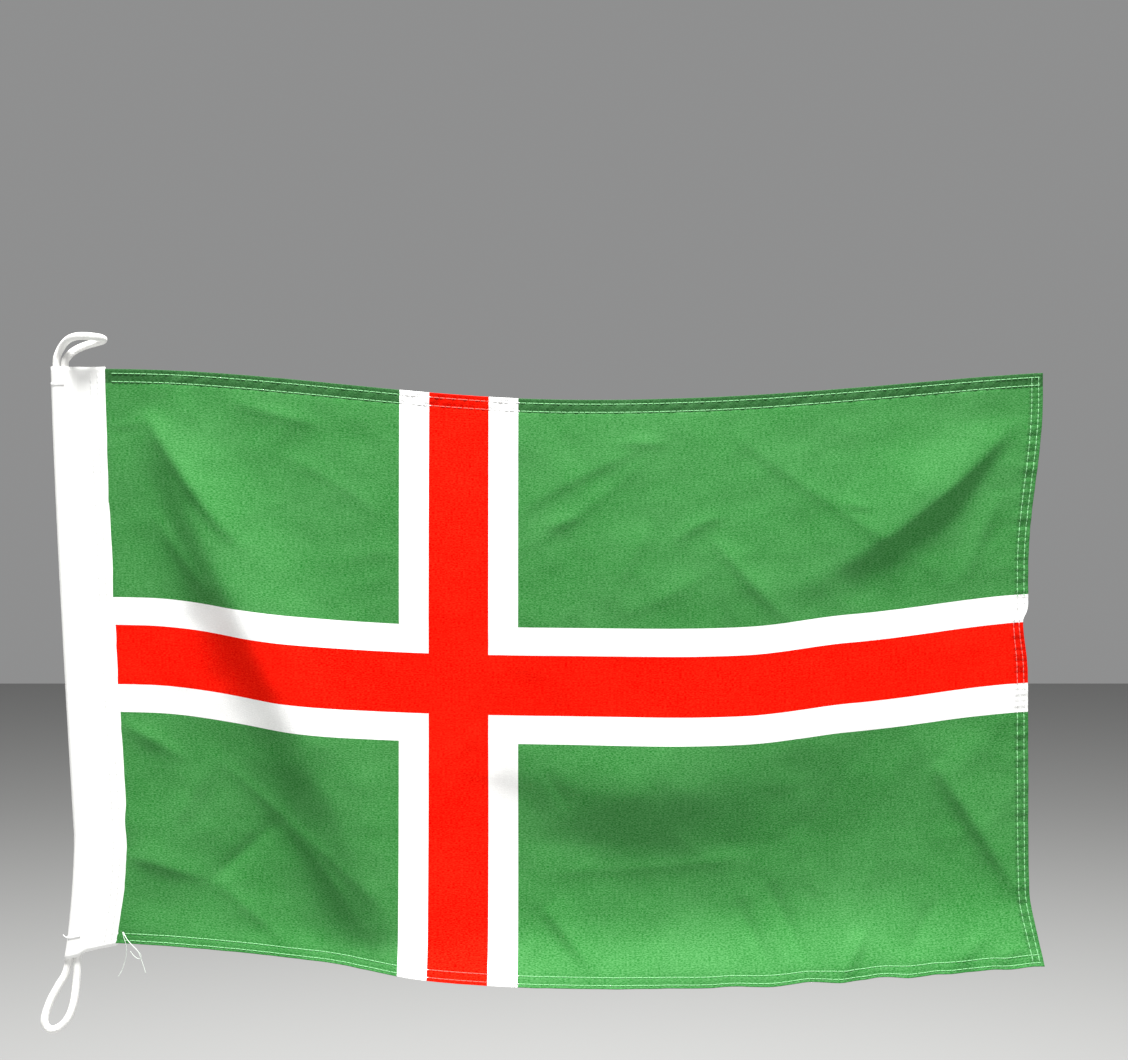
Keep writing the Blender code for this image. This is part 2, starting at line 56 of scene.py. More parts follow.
PANEL_LENGTH = 0.700
PANEL_HEIGHT = 0.440
CROSS_UNIT = 0.022
PLY = 0.0005
TOP_HEM = 0.0108
BOTTOM_HEM = 0.0088
FLY_HEM = 0.0108
TAPE_WIDTH = 0.0376
TAPE_PLY = 0.0006
SEAM_GAP = 0.0026
SEAM_ALLOWANCE = 0.0120
ROPE_DIAMETER = 0.0058
ROPE_PITCH = 0.0063
ROPE_CLEARANCE = 0.0007
GAP = 0.0003
TOP_HOIST = Vector((-0.0111, 0.0141))
TOP_FLY = Vector((0.6837, 0.0111))
TOP_SAG = 0.0215
HOIST_DROP = 0.4250
FLY_DROP = 0.4356
GRIP_LENGTH = 0.022
GRIP_HEIGHT = 0.026
LEAVES_GRIP = 0.006
CLEAR_OF_GRIP = 0.036
CLEAR_OF_HEADING = 0.070
RELIEF_GROWS = 0.02
SEAM_LEAN = 0.0222
SEAM_CURL = 0.0126
CURL_STARTS = 0.81
FLY_PULL = 0.0110
CENTRE_SHIFT = 0.0045
SLUMP_AT = (0.03, 0.19, 0.50, 0.68, 0.80, 1.00)
SLUMP = (-0.0011, 0.0044, -0.0038, -0.0018, -0.0060, -0.0110)
TOP_ROWS = (0.0034, 0.0098)
BOTTOM_ROWS = (0.0023, 0.0074)
FLY_ROWS = (0.0033, 0.0085)
TAPE_ROWS = (0.0030, 0.0080)
BELLY = 0.008
FOOT_TURN = math.radians(12)
TAPE_TOP = -0.0015
TAPE_FOOT = 0.4422
UPPER_ROPE_END = -0.0020
LOWER_ROPE_END = 0.4427
TURNED_BACK = 0.062
ROPE_INWARD = ROPE_DIAMETER / 2 + ROPE_CLEARANCE + TAPE_PLY
TAIL_INWARD = ROPE_INWARD + ROPE_PITCH

# Broad folds. Each crest runs through three points in shares of the panel, steep below and gentle above.
CREST_POINTS = 24
Fold = namedtuple("Fold", "crest height steep gentle fade")
FOLDS = (
    Fold(((0.035, 0.07), (0.148, 0.43), (0.345, 1.05)), 0.0165, 0.040, 0.080, 0.0),
    Fold(((0.965, 0.085), (0.895, 0.25), (0.74, 0.33)), 0.0085, 0.018, 0.060, 0.8),
    Fold(((0.04, 1.06), (0.70, 0.98), (0.97, 1.06)), 0.0250, 0.050, 0.050, 0.0),
    Fold(((0.43, 0.63), (0.57, 0.73), (0.74, 0.60)), 0.0095, 0.050, 0.070, 0.5),
)

# The routes of the free cords, as in the CAD model but in millimetres.
LOWER_LOOP = (
    (-40.6, 0, -434.5), (-43.6, -1, -439.6), (-46.6, -2, -445), (-49.5, -3, -450.4),
    (-51.8, -4, -456), (-53.5, -5, -461.5), (-54.3, -6, -466.5), (-53.2, -6, -471.2),
    (-49.6, -6, -473.8), (-45.2, -6, -473), (-41.2, -5, -470.3), (-37.6, -4, -466),
    (-35, -3, -460), (-33.5, -2, -453.5), (-32.8, -1, -447), (-32.3, 0, -440),
    (-31.8, 0, -433.5),
)
UPPER_LOOP = (
    (-46.3, 0, 24), (-44, -1, 28.5), (-40.6, -3, 32.8), (-36, -6, 35.8),
    (-30, -9, 37.3), (-23.5, -10, 37.5), (-18, -8, 37.2), (-14, -3, 36.8),
    (-12.8, 2, 36.2), (-15, 7, 35.6), (-20, 10, 34.6), (-26, 9, 32.8),
    (-31.5, 6, 30.2), (-36, 3, 26.8), (-39.1, 1, 23),
)
THREAD_TAILS = {
    "loose_thread_long": (
        (3, -4.6, -402), (4.4, -6.2, -406.2), (6, -6.6, -411), (6.2, -6, -417),
        (4.8, -5, -424), (2.6, -4.4, -430), (-0.2, -4.2, -435.2),
    ),
    "loose_thread_right": (
        (4, -6.2, -401.8), (6.6, -7.8, -406), (10.4, -8.2, -410.5), (14.6, -7.8, -415),
        (16.8, -7, -420.5), (18.6, -6.4, -426), (20.4, -6.2, -432),
    ),
    "loose_thread_curl": (
        (5, -9, -403), (8.8, -10.4, -407.8), (13.4, -10.4, -412.8), (17, -9.6, -417),
        (17.6, -8.8, -420), (15, -8, -421), (11.8, -7.8, -418.6), (9.6, -8, -415.5),
    ),
}


def in_metres(route):
    return [tuple(value / 1000 for value in point) for point in route]


def smooth(value, low, high):
    share = np.clip((value - low) / (high - low), 0.0, 1.0)
    return share * share * (3.0 - 2.0 * share)


def smooth_number(value, low, high):
    return float(smooth(np.array(value), low, high))


def top_sag(along):
    share = np.clip(along / PANEL_LENGTH, 0.0, 1.0)
    power = np.where(share < 0.5, 2.0, 1.2)
    return TOP_SAG * np.sin(math.pi * share) ** power


def seam_shift(down):
    share = np.clip(down / PANEL_HEIGHT, 0.0, 1.1)
    curl = np.clip((share - CURL_STARTS) / (1.0 - CURL_STARTS), 0.0, 2.0)
    return SEAM_LEAN * share**1.25 - SEAM_CURL * curl**1.5


def fly_shift(down):
    share = down / PANEL_HEIGHT
    return -FLY_PULL * smooth(share, 0.04, 0.36) * (1.0 - 0.75 * smooth(share, 0.88, 1.02))


def crest_line(crest):
    start, middle, end = (np.array(point) * (PANEL_LENGTH, PANEL_HEIGHT) for point in crest)
    share = np.linspace(0.0, 1.0, CREST_POINTS)[:, None]
    return (1 - share) ** 2 * start + 2 * share * (1 - share) * middle + share**2 * end


def beside(along, down, crest):
    """For each point: its distance to the crest, its side from -1 below to 1 above, and how far along it."""
    line = crest_line(crest)
    nearest = np.full(along.shape, 10.0)
    above = np.zeros(along.shape)
    travelled = np.zeros(along.shape)
    for index in range(len(line) - 1):
        (x0, z0), (x1, z1) = line[index], line[index + 1]
        run, drop = x1 - x0, z1 - z0
        length = math.copysign(math.hypot(run, drop), run)
        share = np.clip(((along - x0) * run + (down - z0) * drop) / length**2, 0.0, 1.0)
        away_x = along - (x0 + share * run)
        away_z = down - (z0 + share * drop)
        distance = np.hypot(away_x, away_z)
        closer = distance < nearest
        nearest = np.where(closer, distance, nearest)
        above = np.where(closer, (away_x * drop - away_z * run) / length / (distance + 1e-9), above)
        travelled = np.where(closer, (index + share) / (len(line) - 1), travelled)
    return nearest, above, travelled


def fold_height(along, down, fold):
    nearest, above, travelled = beside(along, down, fold.crest)
    spread = 0.35 + 0.65 * travelled
    width = (fold.steep + (fold.gentle - fold.steep) * (0.5 + 0.5 * above)) * spread
    rise = 0.25 + 0.75 * smooth(travelled, 0.0, 0.45)
    fall = 1.0 - fold.fade * smooth(travelled, 0.55, 1.0)
    return fold.height * rise * fall * np.exp(-((nearest / width) ** 2))


def slump(share_along):
    dip = np.full(share_along.shape, SLUMP[0])
    for index in range(len(SLUMP) - 1):
        eased = smooth(share_along, SLUMP_AT[index], SLUMP_AT[index + 1])
        dip = dip + (SLUMP[index + 1] - SLUMP[index]) * eased
    return dip


def past_grips(along, down):
    below = np.maximum(down - GRIP_HEIGHT, 0)
    past_hoist = np.hypot(np.maximum(along - GRIP_LENGTH, 0), below)
    past_fly = np.hypot(np.maximum(PANEL_LENGTH - GRIP_LENGTH - along, 0), below)
    return np.minimum(past_hoist, past_fly)


def belly(along, down):
    share_along = np.clip(along / PANEL_LENGTH, 0.0, 1.0)
    share_down = np.clip(down / PANEL_HEIGHT * 1.3, 0.0, 1.0)
    return BELLY * np.sin(math.pi * share_along) * np.sin(math.pi * share_down)


def hanging_point(along, down, relief):
    """The front face's point for arrays of cloth coordinates, with finer relief toward the front."""
    along = np.asarray(along, float)
    down = np.asarray(down, float)
    share_along = along / PANEL_LENGTH
    share_down = down / PANEL_HEIGHT
    forward = belly(along, down)
    x = TOP_HOIST.x + seam_shift(down) * (1.0 - smooth(share_along, 0.0, 0.36)) * (1.0 - share_along)
    x = x + (TOP_FLY.x - TOP_HOIST.x + fly_shift(down) * smooth(share_along, 0.45, 1.0)) * share_along
    x = x + CENTRE_SHIFT * np.sin(math.pi * np.clip(share_along, 0, 1))
    top = TOP_HOIST.y * (1 - share_along) + TOP_FLY.y * share_along - top_sag(along)
    drop = HOIST_DROP + (FLY_DROP - HOIST_DROP) * share_along
    z = top - drop * share_down - slump(share_along) * np.sin(math.pi * np.clip(share_down, 0, 1))
    for fold in FOLDS:
        forward = forward + fold_height(along, down, fold)
    past = past_grips(along, down)
    free = smooth(past, LEAVES_GRIP, CLEAR_OF_GRIP) * smooth(along, 0.0, CLEAR_OF_HEADING)
    y = -forward * free - relief(along, down) * smooth(past, 0.0, RELIEF_GROWS)
    return np.stack([x, y, z], axis=-1)


def seam_point(down):
    """Where the panel's hoist edge is: the line on which along is 0."""
    share = down / PANEL_HEIGHT
    middle = math.sin(math.pi * min(max(share, 0.0), 1.0))
    x = TOP_HOIST.x + float(seam_shift(down))
    return Vector((x, 0.0, TOP_HOIST.y - HOIST_DROP * share - SLUMP[0] * middle))


def tape_across(down):
    drop = FOOT_TURN * smooth_number(down / PANEL_HEIGHT, 0.80, 1.0)
    return Vector((-math.cos(drop), 0.0, -math.sin(drop)))


def tape_point(down, inward, depth):
    """A point of the heading: inward from its fold toward the seam, and depth behind its middle."""
    seam = seam_point(down)
    seam.y += PLY / 2
    return seam + tape_across(down) * (SEAM_GAP + TAPE_WIDTH - inward) + Vector((0.0, depth, 0.0))


# ---- Camera, light and floor ----

CAMERA_DISTANCE = 1.40
FRAME_WIDTH = 0.8356
FRAME_CENTRE = Vector((0.3289, 0.0, -0.1052))
SENSOR = 36.0
FLOOR_HEIGHT = -0.95
FLOOR_REACH = 9.0


def new_object(name, data):
    made = bpy.data.objects.new(name, data)
    bpy.context.scene.collection.objects.link(made)
    return made


def build_camera():
    data = bpy.data.cameras.new("camera")
    data.sensor_width = SENSOR
    data.lens = SENSOR * CAMERA_DISTANCE / FRAME_WIDTH
    camera = new_object("camera", data)
    camera.location = FRAME_CENTRE - Vector((0.0, CAMERA_DISTANCE, 0.0))
    camera.rotation_euler = (math.pi / 2, 0.0, 0.0)
    bpy.context.scene.camera = camera


def add_area_light(name, place, aim, size, energy, colour):
    data = bpy.data.lights.new(name, "AREA")
    data.shape = "RECTANGLE"
    data.size, data.size_y = size
    data.energy = energy
    data.color = colour
    light = new_object(name, data)
    light.location = place
    light.rotation_euler = (Vector(aim) - Vector(place)).to_track_quat("-Z", "Y").to_euler()
    return light


def build_light():
    middle = (0.33, 0.0, -0.20)
    add_area_light("key_above", (0.36, -1.12, 4.00), middle, (1.9, 0.8), 560.0, (1.0, 1.0, 0.985))
    fill = add_area_light("fill_front", (0.52, -2.3, -0.85), middle, (1.8, 1.4), 24.0, (1.0, 1.0, 1.0))
    add_area_light("back_above", (0.40, 1.60, 1.60), middle, (1.6, 1.0), 40.0, (1.0, 1.0, 1.0))
    world = bpy.data.worlds.new("studio")
    world.use_nodes = True
    background = world.node_tree.nodes["Background"]
    background.inputs["Color"].default_value = (0.275, 0.276, 0.277, 1.0)
    background.inputs["Strength"].default_value = 1.0
    bpy.context.scene.world = world
    bpy.context.scene.view_settings.view_transform = "Standard"
    return fill


def build_floor(fill):
    """A plain floor, which the low front light leaves out: it would burn a patch into it."""
    mesh = bpy.data.meshes.new("studio_floor")
    corners = ((-1, -1), (1, -1), (1, 1), (-1, 1))
    points = [(x * FLOOR_REACH, y * FLOOR_REACH, FLOOR_HEIGHT) for x, y in corners]
    mesh.from_pydata(points, [], [(0, 1, 2, 3)])
    floor = new_object("studio_floor", mesh)
    material, _, shader = new_material("studio_floor", 0.9)
    shader.inputs["Base Color"].default_value = (0.33, 0.33, 0.328, 1.0)
    mesh.materials.append(material)
    unlit = bpy.data.collections.new("not_lit_by_fill")
    unlit.objects.link(floor)
    unlit.collection_objects[0].light_linking.link_state = "EXCLUDE"
    fill.light_linking.receiver_collection = unlit


# ---- Materials ----


def new_material(name, roughness, sheen=0.0):
    material = bpy.data.materials.new(name)
    material.use_nodes = True
    shader = material.node_tree.nodes["Principled BSDF"]
    shader.inputs["Roughness"].default_value = roughness
    shader.inputs["Specular IOR Level"].default_value = 0.12
    shader.inputs["Sheen Weight"].default_value = sheen
    shader.inputs["Sheen Roughness"].default_value = 0.45
    return material, material.node_tree, shader


def node(tree, kind, settings=(), inputs=()):
    """A new node with its settings, and its inputs set from numbers or linked from sockets."""
    made = tree.nodes.new(kind)
    for name, value in dict(settings).items():
        setattr(made, name, value)
    for key, value in dict(inputs).items():
        if isinstance(value, bpy.types.NodeSocket):
            tree.links.new(value, made.inputs[key])
        else:
            made.inputs[key].default_value = value
    return made


def math_node(tree, operation, first, second=0.0, third=0.0):
    inputs = {0: first, 1: second, 2: third}
    return node(tree, "ShaderNodeMath", {"operation": operation}, inputs).outputs[0]


def cloth_coordinates(tree):
    """The cloth's own two coordinates, in metres: the UV vector, along and down."""
    uv = node(tree, "ShaderNodeUVMap", {"uv_map": "cloth"}).outputs["UV"]
    parts = node(tree, "ShaderNodeSeparateXYZ", (), {0: uv})
    return uv, parts.outputs[0], parts.outputs[1]


def stretched_noise(tree, vector, scale, detail=2.0, roughness=0.5):
    stretched = node(tree, "ShaderNodeMapping", (), {"Vector": vector, "Scale": (*scale, 1.0)})
    settings = {"Scale": 1.0, "Detail": detail, "Roughness": roughness, "Vector": stretched.outputs[0]}
    return node(tree, "ShaderNodeTexNoise", (), settings).outputs["Fac"]


def times(tree, first, second):
    return math_node(tree, "MULTIPLY", first, second)


def ramp(tree, value, start, end, low=0.0, high=1.0, kind="LINEAR"):
    """Low at the start value, high at the end value, and held beyond them."""
    inputs = {"Value": value, "From Min": start, "From Max": end, "To Min": low, "To Max": high}
    return node(tree, "ShaderNodeMapRange", {"interpolation_type": kind}, inputs).outputs[0]


def band(tree, value, centre, half_width):
    """1 in the middle of a band, falling to 0 at its edges."""
    away = math_node(tree, "ABSOLUTE", math_node(tree, "SUBTRACT", value, centre))
    return ramp(tree, away, half_width, half_width * 0.35, kind="SMOOTHSTEP")


def mixed(tree, share, low, high):
    ends = {0: share, 6: low, 7: high}
    return node(tree, "ShaderNodeMix", {"data_type": "RGBA"}, ends).outputs[2]


def tinted(tree, colour, dark, light, share):
    """A colour that runs from dark times itself to light times itself."""
    low = (*(channel * dark for channel in colour), 1.0)
    high = (*(min(channel * light, 1.0) for channel in colour), 1.0)
    return mixed(tree, share, low, high)


def roughen(tree, shader, height, strength, distance):
    bump = node(tree, "ShaderNodeBump", (), {"Strength": strength, "Distance": distance, "Height": height})
    tree.links.new(bump.outputs[0], shader.inputs["Normal"])


WEAVE_PITCH = 0.00045
CANVAS_PITCH = 0.00065
STITCH_PITCH = 0.0043
PUCKER_REACH = 0.0028
# How much painted shade the lower and fly hems get, as shares of the top hem's painted shade.
FOOT_HEM_SHADE = 0.12
FLY_HEM_SHADE = 0.35


def weave_height(tree, along, down, pitch):
    """A plain weave: threads rise in turn, like the fields of a chessboard."""
    turns = math.pi / pitch
    across = math_node(tree, "SINE", times(tree, along, turns))
    upright = math_node(tree, "SINE", times(tree, down, turns))
    return times(tree, across, upright)


def hem_puckers(tree, along, down):
    """Small ripples between the stitches of each hem."""
    turns = 2 * math.pi / STITCH_PITCH
    ripple_along = math_node(tree, "SINE", times(tree, along, turns))
    ripple_down = math_node(tree, "SINE", times(tree, down, turns))
    rows = [(down, row, ripple_along) for row in TOP_ROWS]
    rows += [(down, PANEL_HEIGHT - row, ripple_along) for row in BOTTOM_ROWS]
    rows += [(along, PANEL_LENGTH - row, ripple_down) for row in FLY_ROWS]
    total = 0.0
    for value, centre, ripple in rows:
        here = times(tree, band(tree, value, centre, PUCKER_REACH), ripple)
        total = math_node(tree, "ADD", total, here)
    return total


def hem_shade(tree, along, down, printed, depth):
    """Painted shade: the print is darkened toward black over the hems, where three plies lie, by depth times
    each hem's share.
    """
    edge = 0.0004
    foot_line = PANEL_HEIGHT - BOTTOM_HEM
    fly_line = PANEL_LENGTH - FLY_HEM
    top = ramp(tree, down, TOP_HEM + edge, TOP_HEM - edge)
    foot = ramp(tree, down, foot_line - edge, foot_line + edge, high=FOOT_HEM_SHADE)
    fly = ramp(tree, along, fly_line - edge, fly_line + edge, high=FLY_HEM_SHADE)
    share = math_node(tree, "MAXIMUM", math_node(tree, "MAXIMUM", top, foot), fly)
    return mixed(tree, times(tree, share, depth), printed, (0.0, 0.0, 0.0, 1.0))


def cloth_material(name, dark, light, painted_hem_shade, specular):
    """Printed polyester: a plain weave with slubs along the flag, and print that takes them up unevenly."""
    material, tree, shader = new_material(name, 0.72, sheen=specular * 0.1)
    shader.inputs["Specular IOR Level"].default_value = specular
    uv, along, down = cloth_coordinates(tree)
    grain = stretched_noise(tree, uv, (520.0, 1650.0), 1.0, 0.70)
    slub = stretched_noise(tree, uv, (60.0, 820.0), 4.0, 0.68)
    cross_slub = stretched_noise(tree, uv, (700.0, 70.0), 3.0, 0.60)
    cloud = stretched_noise(tree, uv, (13.0, 17.0), 3.0, 0.5)
    yarn = math_node(tree, "ADD", times(tree, slub, 0.62), times(tree, cross_slub, 0.38))
    share = math_node(tree, "MULTIPLY_ADD", grain, 0.60, times(tree, yarn, 0.30))
    share = math_node(tree, "MULTIPLY_ADD", cloud, 0.10, share)
    printed = mixed(tree, ramp(tree, share, 0.39, 0.61), (*dark, 1.0), (*light, 1.0))
    # Painted shade darkens the print over the hems.
    tree.links.new(hem_shade(tree, along, down, printed, painted_hem_shade), shader.inputs["Base Color"])
    weave = times(tree, weave_height(tree, along, down, WEAVE_PITCH), 0.30)
    height = math_node(tree, "MULTIPLY_ADD", yarn, 1.2, math_node(tree, "MULTIPLY_ADD", grain, 0.9, weave))
    height = math_node(tree, "ADD", height, times(tree, hem_puckers(tree, along, down), 0.9))
    roughen(tree, shader, height, 0.6, 0.00016)
    tree.links.new(ramp(tree, yarn, 0.3, 0.7, 0.66, 0.80), shader.inputs["Roughness"])
    return material


def canvas_material():
    """Bleached canvas tape: a coarser weave, a little grey in patches that vary at random."""
    material, tree, shader = new_material("white_canvas", 0.85, sheen=0.15)
    uv, along, down = cloth_coordinates(tree)
    slub = stretched_noise(tree, uv, (700.0, 60.0), 2.0, 0.6)
    cloud = stretched_noise(tree, uv, (30.0, 24.0), 3.0, 0.55)
    share = math_node(tree, "ADD", times(tree, slub, 0.5), times(tree, cloud, 0.5))
    tree.links.new(tinted(tree, (0.90, 0.90, 0.885), 0.955, 1.02, share), shader.inputs["Base Color"])
    weave = weave_height(tree, along, down, CANVAS_PITCH)
    roughen(tree, shader, math_node(tree, "ADD", times(tree, weave, 0.4), slub), 0.5, 0.00020)
    return material


def strand_material(name, colour, scale):
    """Yarn of many fine fibres that run along each strand."""
    material, tree, shader = new_material(name, 0.70, sheen=0.2)
    place = node(tree, "ShaderNodeTexCoord").outputs["Object"]
    fibres = stretched_noise(tree, place, (scale, scale), 3.0, 0.6)
    tree.links.new(tinted(tree, colour, 0.95, 1.05, fibres), shader.inputs["Base Color"])
    roughen(tree, shader, fibres, 0.4, 0.00008)
    return material


# ---- Mesh helpers ----


def add_mesh(name, points, faces, materials, slots=None, uvs=None):
    mesh = bpy.data.meshes.new(name)
    mesh.from_pydata([tuple(point) for point in points], [], faces)
    for material in materials:
        mesh.materials.append(material)
    if slots is not None:
        mesh.polygons.foreach_set("material_index", slots)
    if uvs is not None:
        layer = mesh.uv_layers.new(name="cloth")
        corners = np.empty(len(mesh.loops), np.int32)
        mesh.loops.foreach_get("vertex_index", corners)
        layer.data.foreach_set("uv", np.asarray(uvs, np.float32)[corners].ravel())
    mesh.update()
    mesh.shade_smooth()
    return new_object(name, mesh)


def thicken(thing, thickness):
    """Gives a sheet its thickness, half to each side, and makes the result its own mesh."""
    solidify = thing.modifiers.new("thickness", "SOLIDIFY")
    solidify.thickness = thickness
    solidify.offset = 0.0
    solidify.use_even_offset = False
    solid = bpy.data.meshes.new_from_object(thing.evaluated_get(bpy.context.evaluated_depsgraph_get()))
    thing.modifiers.clear()
    thing.data = solid
    return thing


def through_points(points, per_span):
    """A smooth Catmull-Rom curve through given points."""
    points = [Vector(point) for point in points]
    padded = [2 * points[0] - points[1], *points, 2 * points[-1] - points[-2]]
    curve = []
    for index in range(1, len(padded) - 2):
        a, b, c, d = padded[index - 1 : index + 3]
        for step in range(per_span):
            t = step / per_span
            bend = 2 * a - 5 * b + 4 * c - d
            turn = 3 * b - a - 3 * c + d
            curve.append(0.5 * (2 * b + (c - a) * t + bend * t**2 + turn * t**3))
    curve.append(points[-1])
    return curve


def evenly(path, step):
    """The same path with its points a fixed step apart."""
    path = np.array([tuple(point) for point in path])
    lengths = np.concatenate([[0.0], np.cumsum(np.linalg.norm(np.diff(path, axis=0), axis=1))])
    count = max(2, round(lengths[-1] / step) + 1)
    stations = np.linspace(0.0, lengths[-1], count)
    return np.stack([np.interp(stations, lengths, path[:, axis]) for axis in range(3)], axis=-1)


def path_frames(path):
    """Two directions square to the path at each point, carried along it without twist."""
    tangents = np.gradient(path, axis=0)
    tangents /= np.linalg.norm(tangents, axis=1)[:, None]
    first = Vector(tangents[0]).orthogonal().normalized()
    sides = []
    for tangent in tangents:
        tangent = Vector(tangent)
        first = (first - tangent * first.dot(tangent)).normalized()
        sides.append((tuple(first), tuple(tangent.cross(first))))
    sides = np.array(sides)
    return sides[:, 0], sides[:, 1]


def swept(path, across, other, wide, thick, sides):
    """Points and faces of a closed tube whose half sizes are wide and thick in two directions."""
    angles = np.linspace(0.0, 2 * math.pi, sides, endpoint=False)
    ring = np.cos(angles)[None, :, None] * across[:, None, :] * wide
    ring = ring + np.sin(angles)[None, :, None] * other[:, None, :] * thick
    points = (path[:, None, :] + ring).reshape(-1, 3)
    faces = []
    for index in range(len(path) - 1):
        here, there = index * sides, (index + 1) * sides
        for step in range(sides):
            after = (step + 1) % sides
            faces.append((here + step, here + after, there + after, there + step))
    faces.append(tuple(reversed(range(sides))))
    last = (len(path) - 1) * sides
    faces.append(tuple(last + step for step in range(sides)))
    return points, faces


def tube_geometry(path, radius, sides):
    path = np.asarray(path, float)
    return swept(path, *path_frames(path), radius, radius, sides)


def join_geometry(parts):
    points, faces = [], []
    for part_points, part_faces in parts:
        start = len(points)
        points.extend(part_points)
        faces.extend(tuple(start + corner for corner in face) for face in part_faces)
    return points, faces


# ---- The printed cloth ----

CLOTH_THICKNESS = 0.00025
ENTERS_HEADING = 0.004
PLY_STEP = 0.00035
COLUMN_STEP = 0.0030
ROW_STEP = 0.0023
RED_HALF_HEIGHT = 1.035

# Creases finer than the broad folds. Each row: three points of its line, along and down in percent of the
# panel, then its height and its reach below and above in millimetres.
CREASES = (
    (43.7, 19.8, 49.9, 13.1, 57.4, 8.1, 1.6, 8, 18),
    (44.3, 26.3, 50.4, 20.5, 58.7, 8.3, 1, 7, 14),
    (54, 7.9, 56.3, 7.6, 59, 8.1, 1, 4, 10),
    (52.9, 36.6, 54.7, 29.4, 58.3, 20.8, 1, 8, 14),
    (64.1, 24.1, 67.6, 31.1, 73.3, 40.4, 2.4, 8, 16),
    (65.4, 29.1, 65.9, 34.4, 66.3, 39.4, 1, 6, 10),
    (65.4, 29.1, 60.3, 34.2, 54, 38, 1, 10, 14),
    (60.1, 25.1, 63.6, 21, 65.3, 21, 1.2, 5, 10),
    (65.7, 5.7, 75, 18.4, 91, 35.9, 1.3, 8, 14),
    (78.3, 19.9, 80, 21.5, 81.9, 21.8, 1, 4, 8),
    (96.4, 21.2, 94.9, 27.9, 92.9, 37.1, 1.4, 8, 12),
    (46.3, 23.2, 48, 21.7, 50.1, 20.8, 0.9, 4, 10),
    (46.2, 65, 47.4, 66.8, 48.8, 71.4, -1, 5, 10),
    (46.9, 81.8, 58.9, 80.6, 69.7, 79.1, 1, 8, 12),
    (89.1, 66.4, 94, 77.7, 99.7, 91.3, 4.6, 8, 24),
    (46.1, 87.5, 48.3, 92.2, 51.6, 97.7, 3.4, 7, 18),
    (43.7, 97, 44.7, 95.1, 45.7, 92.7, 1.5, 6, 10),
    (67.3, 86.1, 68.4, 91.8, 70.4, 97.5, -2.2, 7, 9),
    (70.7, 83.7, 72.4, 89.9, 74.6, 97.8, -2.2, 8, 9),
    (75.1, 80.6, 75.9, 83.9, 76.1, 87.2, 0.8, 4, 6),
    (78, 99.5, 79.6, 95.8, 81.3, 93, 3.6, 6, 10),
    (86, 97.5, 86.3, 94.7, 89.7, 88.9, -2.2, 10, 8),
    (90.7, 98.9, 92.4, 96.8, 94.4, 94.9, 1.8, 5, 8),
    (95.3, 99.2, 96, 97.5, 98.7, 97.2, 1.8, 5, 8),
    (0, 61.6, 2.3, 64.1, 7, 67.7, 2.2, 12, 12),
    (0, 84.8, 3.6, 86.5, 8.6, 88, 2.6, 8, 20),
    (4.3, 83.7, 5.9, 76.5, 10.1, 67.6, 1.2, 8, 12),
    (11.1, 67.4, 18.3, 75.5, 29.3, 88.9, 1.6, 8, 14),
    (17.9, 76.2, 22, 81.3, 26.6, 92.9, 3, 10, 16),
    (9.1, 88.6, 12.6, 83.1, 17.3, 75.7, -2, 10, 7),
    (10, 88.4, 13.7, 92, 18.6, 97.8, 1.6, 10, 12),
    (0, 101.3, 11, 99, 23.3, 99.4, 5, 20, 30),
    (3.6, 6, 8, 20, 13.7, 28.9, 4.6, 9, 20),
    (4.4, 24.4, 6.9, 31.8, 10.9, 39.4, 2, 9, 12),
    (12.6, 4.3, 17.7, 6.5, 23.6, 7.4, 1.2, 8, 10),
    (18.3, 12.7, 23.6, 15.6, 29.4, 22, 1, 10, 14),
    (0.1, 9.8, 2.1, 10.7, 3.9, 8.6, 0.5, 3, 6),
    (34.9, 65.2, 37, 62.1, 39.9, 57.1, 1, 6, 10),
)

# Noise over the cloth: its height, the size of its features and its seed.
FACETS = ((0.0008, 0.085, 3.1), (0.0003, 0.032, 14.6))
SOFT_NOISE = (0.0005, 0.020, 7.7)
FACET_WARP = 0.012
FACET_WARP_SIZE = 0.050

# Waves that die away from an edge. The lower along or down is, the less they change in that direction.
EdgeWave = namedtuple("EdgeWave", "height reach along down size seed")
FLY_EDGE = EdgeWave(0.0008, 0.012, 0.3, 1.0, 0.0075, 11.3)
TOP_EDGE = EdgeWave(0.0007, 0.014, 1.0, 0.3, 0.0100, 5.9)
FOOT_EDGE = EdgeWave(0.0010, 0.014, 1.0, 0.3, 0.0120, 9.2)
LOOSE_FOOT = EdgeWave(0.0021, 0.011, 1.0, 0.5, 0.0135, 15.2)
LOOSE_FOOT_FROM = (0.48, 0.56)
FOOT_WANDER = EdgeWave(0.0026, 0.020, 1.0, 0.0, 0.028, 2.9)
FOOT_WANDER_FROM = (0.35, 0.55)

# Ripples that the stitches gather into two of the hems, in a band with a middle and a half width.
HemRipple = namedtuple("HemRipple", "height length middle half_width")
FLY_RIPPLE = HemRipple(0.00065, 0.0092, 0.0068, 0.0036)
TOP_RIPPLE = HemRipple(0.00055, 0.0125, 0.0066, 0.0042)
STITCH_GROOVE = 0.00030
GROOVE_REACH = 0.0011

# The kink in the fly hem: its place and reach as shares of the height, and how far it pulls the cloth.
KINK_AT = 0.446
KINK_UP = 0.014
KINK_DOWN = 0.055
KINK_WIDTH = 0.024
KINK_INWARD = 0.0046
KINK_FORWARD = 0.0030


